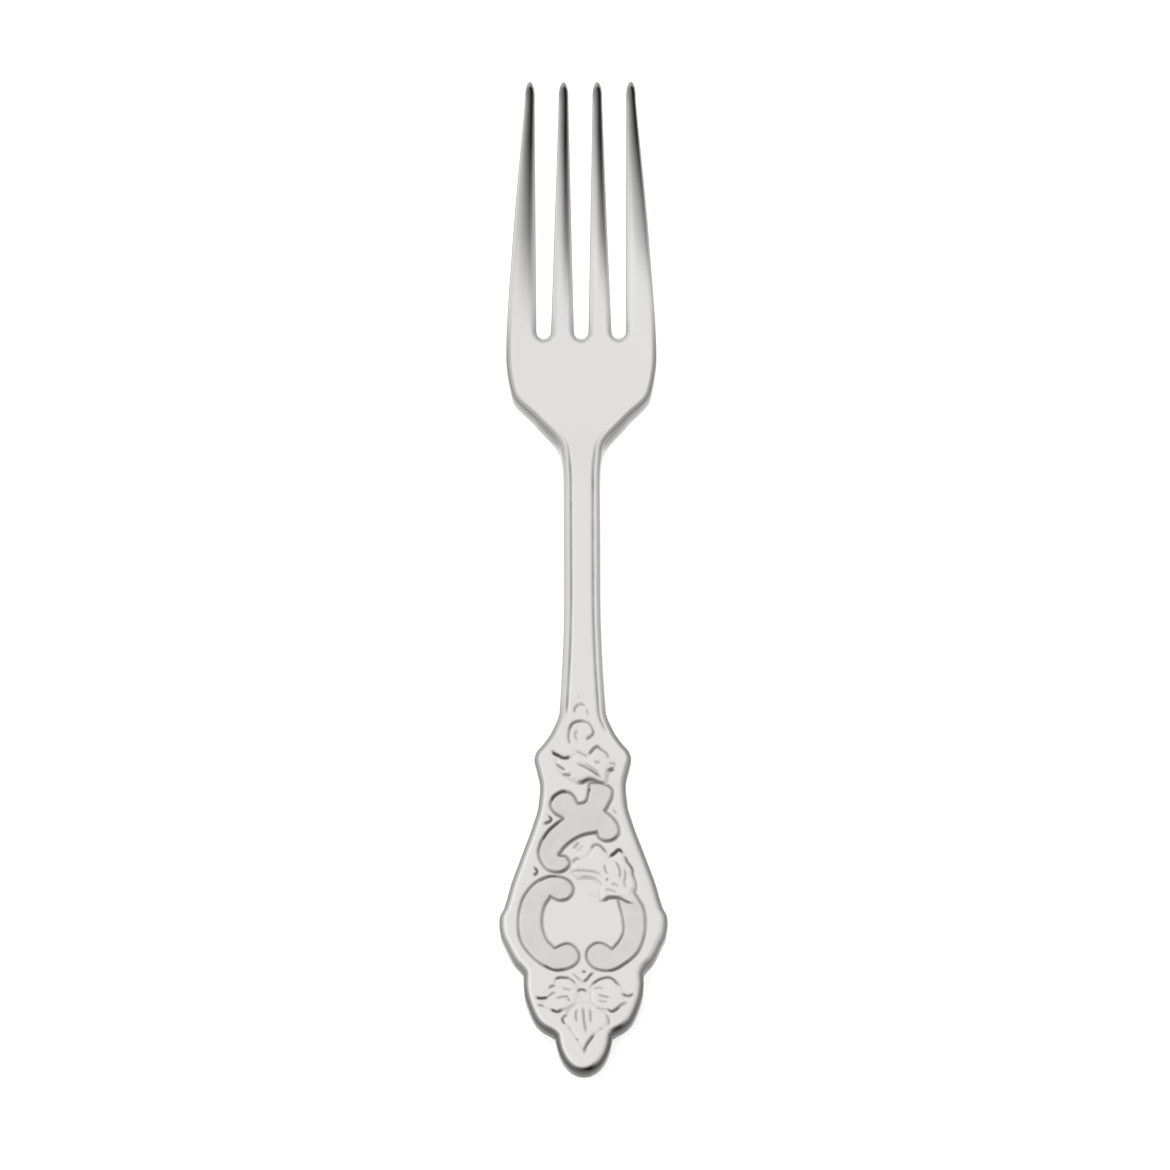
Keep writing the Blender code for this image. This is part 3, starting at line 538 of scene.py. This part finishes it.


# The silver. The metal is polished bright, with a faint warm cast, a soft haze of fine use marks along the
# fork, and darker tarnish left where a cloth can't reach, in the cuts and threads. The scroll bands, the round of
# the rim, the walls and the tine tips are darkened with painted shade and painted reflection.

class Wire:
    """A shader socket that is reckoned with like a number."""

    def __init__(self, tree, socket):
        self.tree, self.socket = tree, socket

    def node(self, kind, settings=None, sockets=None, output=0):
        made = self.tree.nodes.new(kind)
        for name, value in (settings or {}).items():
            setattr(made, name, value)
        for name, value in (sockets or {}).items():
            if isinstance(value, Wire):
                self.tree.links.new(value.socket, made.inputs[name])
            else:
                made.inputs[name].default_value = value
        return Wire(self.tree, made.outputs[output]) if made.outputs else made

    def math(self, operation, first, second):
        return self.node("ShaderNodeMath", {"operation": operation}, {0: first, 1: second})

    def __add__(self, other):
        return self.math("ADD", self, other)

    def __sub__(self, other):
        return self.math("SUBTRACT", self, other)

    def __mul__(self, other):
        return self.math("MULTIPLY", self, other)

    def __rsub__(self, other):
        return self.math("SUBTRACT", other, self)

    __radd__ = __add__
    __rmul__ = __mul__

    def ramp(self, low, high):
        return self.node("ShaderNodeMapRange", {"interpolation_type": "SMOOTHSTEP"},
                         {"Value": self, "From Min": low, "From Max": high})

    def mix(self, low, high):
        return self.node("ShaderNodeMix", {"data_type": "RGBA"}, {"Factor": self, 6: low, 7: high}, output=2)


def new_tree(owner):
    """Cleared node tree of a material or world, as a wire that has no socket yet."""
    owner.use_nodes = True
    owner.node_tree.nodes.clear()
    return Wire(owner.node_tree, None)


SILVER = (0.93, 0.92, 0.89, 1)
TARNISH_AND_PAINTED_SHADE = (0.12, 0.115, 0.1, 1)
# Dark colour painted on the rim, the walls and the tine tips, as painted reflection and painted shadow.
RIM_PAINTED_DARK = (0.07, 0.069, 0.066, 1)
CLOUD_SCALE = 260.0
HAIR_SCALE = (9000.0, 500.0, 500.0)
CLOUD_TARNISH = (0.75, 0.5)
TARNISH_RANGE = (0.12, 0.95)
POLISH = 0.08
CLOUD_HAZE = 0.06
HAIR_HAZE = 0.04
TARNISH_HAZE = 0.25
material = bpy.data.materials.new("polished_silver")
start = new_tree(material)
spot = start.node("ShaderNodeTexCoord", output=3)
patina_and_painted_shade = start.node("ShaderNodeAttribute", {"attribute_name": "recess"}, output=2)
# The edge attribute: painted shade and painted reflection on the rim, the walls and the tine tips.
painted_rim_shade = start.node("ShaderNodeAttribute", {"attribute_name": "edge"}, output=2)
cloud = start.node("ShaderNodeTexNoise", {}, {"Vector": spot, "Scale": CLOUD_SCALE, "Detail": 3.0})
stretched = start.node("ShaderNodeMapping", {}, {"Vector": spot, "Scale": HAIR_SCALE})
hair = start.node("ShaderNodeTexNoise", {}, {"Vector": stretched, "Scale": 1.0, "Detail": 2.0})
# Tarnish in the cuts and threads, with painted shade on the scroll bands.
tarnish_and_painted_shade = (patina_and_painted_shade * (CLOUD_TARNISH[0] + CLOUD_TARNISH[1] * cloud)).ramp(*TARNISH_RANGE)
colour = painted_rim_shade.mix(tarnish_and_painted_shade.mix(SILVER, TARNISH_AND_PAINTED_SHADE), RIM_PAINTED_DARK)
roughness = POLISH + CLOUD_HAZE * cloud + HAIR_HAZE * hair + TARNISH_HAZE * tarnish_and_painted_shade
metal = start.node("ShaderNodeBsdfPrincipled", {}, {
    "Base Color": colour, "Metallic": 1.0, "Roughness": roughness})
start.node("ShaderNodeOutputMaterial", {}, {"Surface": metal})
mesh.materials.append(material)
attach(fork, "root")
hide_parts("dessert_fork")


# The table. A wide pale sheet that the fork lies on; it shows white to the camera and in the metal, and
# still takes the fork's soft shadow.

FLOOR_SIZE = 6
FLOOR_COLOUR = (0.93, 0.93, 0.93, 1)
FLOOR_GLOW = 0.62
bm = bmesh.new()
bmesh.ops.create_grid(bm, x_segments=1, y_segments=1, size=FLOOR_SIZE / 2)
floor_mesh = bpy.data.meshes.new("table")
bm.to_mesh(floor_mesh)
bm.free()
floor = bpy.data.objects.new("table", floor_mesh)
bpy.context.scene.collection.objects.link(floor)
paper = bpy.data.materials.new("pale_table")
start = new_tree(paper)
rays = ("Is Camera Ray", "Is Glossy Ray", "Is Transmission Ray")
seen = [start.node("ShaderNodeLightPath", output=ray) for ray in rays]
shown = start.math("MINIMUM", seen[0] + seen[1] + seen[2], 1.0)
diffuse = start.node("ShaderNodeBsdfDiffuse", {}, {"Color": FLOOR_COLOUR})
glow = start.node("ShaderNodeEmission", {}, {"Color": (1, 1, 1, 1), "Strength": shown * FLOOR_GLOW})
both = start.node("ShaderNodeAddShader", {}, {0: diffuse, 1: glow})
start.node("ShaderNodeOutputMaterial", {}, {"Surface": both})
floor_mesh.materials.append(paper)


# The light. A soft white tent, a little brighter on the left and a little dimmer on the right, in front and
# low down. A dark arm that holds the lens reaches in above the handle's end, and the tines mirror it.

TENT = 0.8
DIM = 0.006
ARM_SIDE = 0.3
ARM_REACH = (1.1, 0.4)
ARM_END = (-0.28, 0.34)
ARM_BACK = -0.46
ARM_SOFT = 0.35

# How the tent's brightness goes along each way: what it starts from, then its steps as (amount, from, to).
LEFT = (1, [(0.15, 0.1, 0.4), (-0.35, 0.6, 0.9)])
RIGHT = (1, [(-0.2, 0.1, 0.45), (-0.05, 0.45, 0.85)])
FRONT = (0.72, [(0.08, -0.8, -0.45), (0.2, -0.45, 0.05)])
LOW = (0.85, [(0.15, 0.2, 0.6)])
world = bpy.data.worlds.new("tent")
bpy.context.scene.world = world
start = new_tree(world)
direction = start.node("ShaderNodeTexCoord", output=0)
apart = direction.node("ShaderNodeSeparateXYZ", {}, {"Vector": direction})
across, along, up = [Wire(apart.tree, apart.socket.node.outputs[axis]) for axis in range(3)]
left_of_arm = (ARM_SIDE - across) * (1 / ARM_REACH[0])
right_of_arm = (across - ARM_SIDE) * (1 / ARM_REACH[1])
aside = start.math("MAXIMUM", left_of_arm, right_of_arm)
ahead = start.math("MAXIMUM", (along - ARM_END[0]) * (1 / (ARM_END[1] - ARM_END[0])), 0.0)
behind = (ARM_BACK - along).ramp(0.0, ARM_SOFT)
clear = start.math("MAXIMUM", (aside + ahead).ramp(0.0, 1.0), behind)
level = TENT * clear
for heading, (gain, steps) in ((0 - across, LEFT), (across, RIGHT), (along, FRONT), (up, LOW)):
    for amount, begin, end in steps:
        gain = gain + amount * heading.ramp(begin, end)
    level = level * gain
direct = start.node("ShaderNodeLightPath", output="Is Camera Ray")
strength = direct + (1 - direct) * (DIM + level)
sky = start.node("ShaderNodeBackground", {}, {"Color": (1, 1, 1, 1), "Strength": strength})
start.node("ShaderNodeOutputWorld", {}, {"Surface": sky})


# The camera. It looks down on the fork from the end of the handle, 25 degrees off the vertical, through a
# long lens, as in the photograph.

VIEW_TILT = np.radians(25)
VIEW_TURN = np.radians(-0.2)
VIEW_DISTANCE = 8
VIEW_WIDTH = 0.1974
AIM = Vector((0.00047, -0.00037, 0.005))
SENSOR = 36
camera_data = bpy.data.cameras.new("camera")
camera_data.sensor_width = SENSOR
camera_data.lens = SENSOR * VIEW_DISTANCE / VIEW_WIDTH
camera = bpy.data.objects.new("camera", camera_data)
back = Vector((np.sin(VIEW_TURN), -np.cos(VIEW_TURN))) * np.sin(VIEW_TILT)
camera.location = AIM + VIEW_DISTANCE * Vector((*back, np.cos(VIEW_TILT)))
camera.rotation_euler = (VIEW_TILT, 0, VIEW_TURN)
bpy.context.scene.collection.objects.link(camera)
bpy.context.scene.camera = camera
bpy.context.scene.view_settings.view_transform = "Standard"
